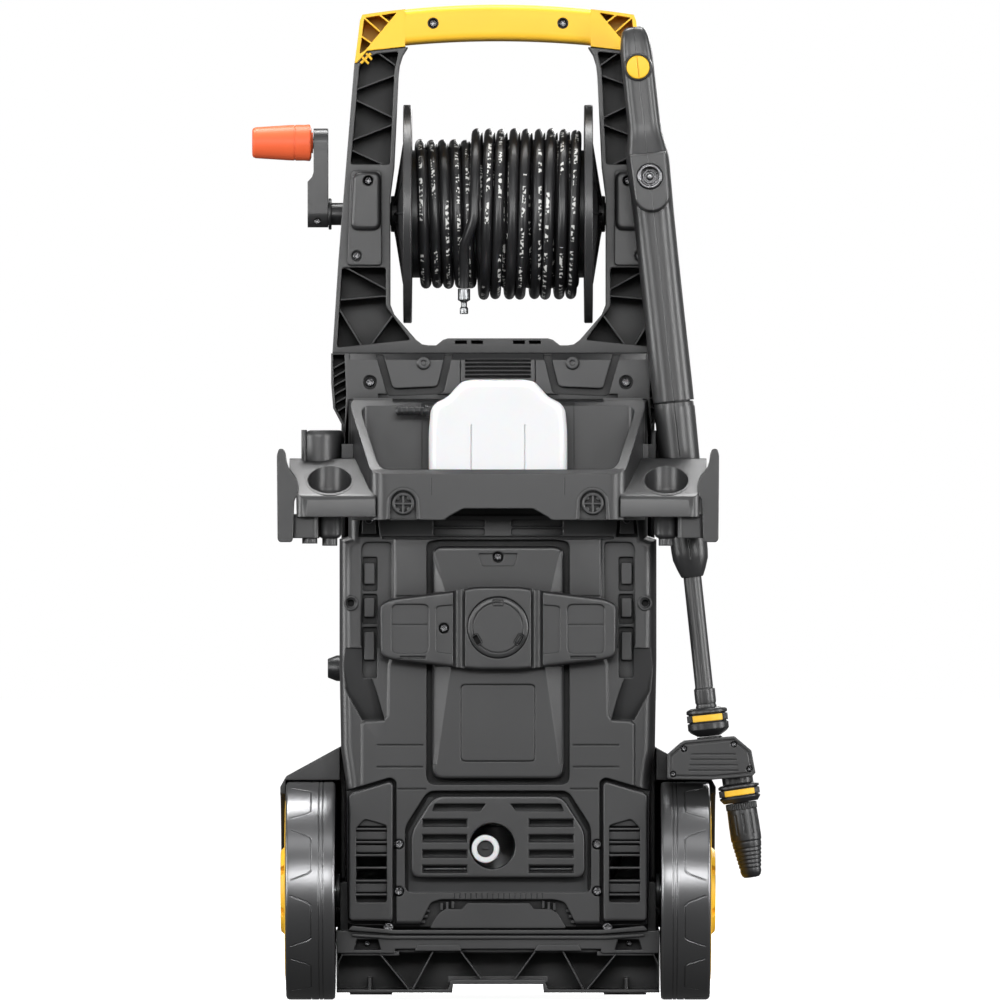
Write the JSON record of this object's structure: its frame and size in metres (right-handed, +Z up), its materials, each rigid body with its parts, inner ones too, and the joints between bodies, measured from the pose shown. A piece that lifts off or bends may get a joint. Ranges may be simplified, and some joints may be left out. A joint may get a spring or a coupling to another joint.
{
  "type": "pressure washer",
  "caption": "Upright electric pressure washer on two wheels, with a hose reel and crank in its handle, a clipped spray lance and a detergent tank.",
  "frame": {"origin": "on the floor, below the middle of the machine's outer box without the hose", "axes": "+Z up; the back with the wheels, reel end and spray lance faces -Y; +X towards the spray lance"},
  "size_m": [0.51, 0.409, 0.9966],
  "materials": {
    "charcoal": "fine-textured charcoal moulded plastic",
    "black": "satin black moulded plastic",
    "tyre": "satin black hard tread",
    "hose": "glossy black hose jacket",
    "yellow": "satin yellow moulded plastic",
    "orange": "satin orange-red moulded plastic",
    "white_tank": "milky white blow-moulded plastic",
    "steel": "bright turned steel",
    "brass": "plain brass",
    "aluminium": "cast aluminium",
    "foot_rubber": "dull black rubber"
  },
  "bodies": {
    "root": {"base_frame": "charcoal", "front_foot_right": "foot_rubber", "front_foot_left": "foot_rubber", "wheel_axle": "steel", "rear_cover": "charcoal", "front_cover": "charcoal", "centre_panel": "charcoal", "crossbar": "charcoal", "crossbar_cap": "charcoal", "lower_vent_panel": "charcoal", "side_grille_right": "charcoal", "side_grille_left": "charcoal", "upper_cover": "charcoal", "accessory_bracket": "charcoal", "handle_frame": "charcoal", "handle_crosspiece": "yellow", "bearing_cap_right": "charcoal", "bearing_cap_left": "charcoal", "reel_bush": "black", "reel_swivel": "brass", "motor": "aluminium", "pump_body": "aluminium", "pump_head": "brass", "water_inlet": "white_tank", "outlet_pipe": "hose", "switch_box": "black", "cable_gland": "black"},
    "wheel_right": {"wheel_right": "tyre", "hubcap_right": "yellow"},
    "wheel_left": {"wheel_left": "tyre", "hubcap_left": "yellow"},
    "reel": {"reel_shaft": "black", "reel_drum": "black", "reel_flange_right": "black", "reel_flange_left": "black", "crank_washer": "black", "crank_arm": "charcoal", "crank_pin": "steel", "hose_coil": "hose", "hose_tail": "hose", "hose_fitting": "steel"},
    "grip": {"crank_grip": "orange"},
    "tank": {"detergent_tank": "white_tank", "tank_barb": "black"},
    "lock_right": {"bracket_lock_right": "charcoal"},
    "lock_left": {"bracket_lock_left": "charcoal"},
    "rotor": {"motor_rotor": "steel"},
    "knob": {"power_knob": "yellow"},
    "lance": {"lance_sleeve": "charcoal", "lance_tube": "charcoal", "lance_head": "charcoal"},
    "gun": {"gun_shell_right": "charcoal", "gun_shell_left": "charcoal", "gun_valve": "brass", "gun_inlet": "steel"},
    "trigger": {"gun_trigger": "black"},
    "button": {"gun_button": "yellow"},
    "collar_upper": {"lance_collar_upper": "black"},
    "collar_lower": {"lance_collar_lower": "black"},
    "nozzle": {"rotary_nozzle": "black"}
  },
  "joints": [
    {"name": "wheel_right_spin", "type": "hinge", "parent": "root", "child": "wheel_right", "pos_m": [0.17859, -0.0815, 0.109], "axis": [1, 0, 0], "continuous": true},
    {"name": "wheel_left_spin", "type": "hinge", "parent": "root", "child": "wheel_left", "pos_m": [-0.19541, -0.0815, 0.109], "axis": [1, 0, 0], "continuous": true},
    {"name": "reel_spin", "type": "hinge", "parent": "root", "child": "reel", "pos_m": [-0.00841, -0.0305, 0.787], "axis": [1, 0, 0], "continuous": true},
    {"name": "grip_spin", "type": "hinge", "parent": "reel", "child": "grip", "pos_m": [-0.22341, -0.0305, 0.8585], "axis": [1, 0, 0], "continuous": true},
    {"name": "tank_lift", "type": "slide", "parent": "root", "child": "tank", "axis": [0, 0, 1], "range_m": [0, 0.045]},
    {"name": "lock_right_turn", "type": "hinge", "parent": "root", "child": "lock_right", "pos_m": [0.08589, -0.2005, 0.4963], "axis": [0, 1, 0], "range_deg": [0, 90]},
    {"name": "lock_left_turn", "type": "hinge", "parent": "root", "child": "lock_left", "pos_m": [-0.10271, -0.2005, 0.4963], "axis": [0, 1, 0], "range_deg": [-90, 0]},
    {"name": "rotor_spin", "type": "hinge", "parent": "root", "child": "rotor", "pos_m": [-0.00841, 0.0615, 0.25], "axis": [0, 0, 1], "continuous": true},
    {"name": "power_knob_turn", "type": "hinge", "parent": "root", "child": "knob", "pos_m": [-0.00841, 0.1895, 0.43], "axis": [0, 1, 0], "range_deg": [-90, 0]},
    {"name": "lance_unclip", "type": "slide", "parent": "root", "child": "lance", "axis": [1, 0, 0], "range_m": [0, 0.1]},
    {"name": "gun_pull_off", "type": "slide", "parent": "lance", "child": "gun", "axis": [-0.1063, 0, 0.9943], "range_m": [0, 0.12]},
    {"name": "trigger_pull", "type": "hinge", "parent": "gun", "child": "trigger", "pos_m": [0.1452, -0.1025, 0.80283], "axis": [0.9943, 0, 0.1063], "range_deg": [0, 14], "stiffness_Nm_per_rad": 1.2, "springref_deg": -5.73},
    {"name": "button_press", "type": "slide", "parent": "gun", "child": "button", "axis": [0, 1, 0], "range_m": [0, 0.003], "stiffness_N_per_m": 400, "springref_m": -0.001},
    {"name": "collar_upper_turn", "type": "hinge", "parent": "lance", "child": "collar_upper", "pos_m": [0.20109, -0.1185, 0.27981], "axis": [-0.1063, 0, 0.9943], "range_deg": [-45, 45]},
    {"name": "collar_lower_turn", "type": "hinge", "parent": "lance", "child": "collar_lower", "pos_m": [0.23159, -0.1185, 0.216], "axis": [-0.1444, 0, 0.9895], "range_deg": [-45, 45]},
    {"name": "nozzle_turn", "type": "hinge", "parent": "lance", "child": "nozzle", "pos_m": [0.23159, -0.1185, 0.216], "axis": [-0.1444, 0, 0.9895], "range_deg": [0, 90]}
  ]
}
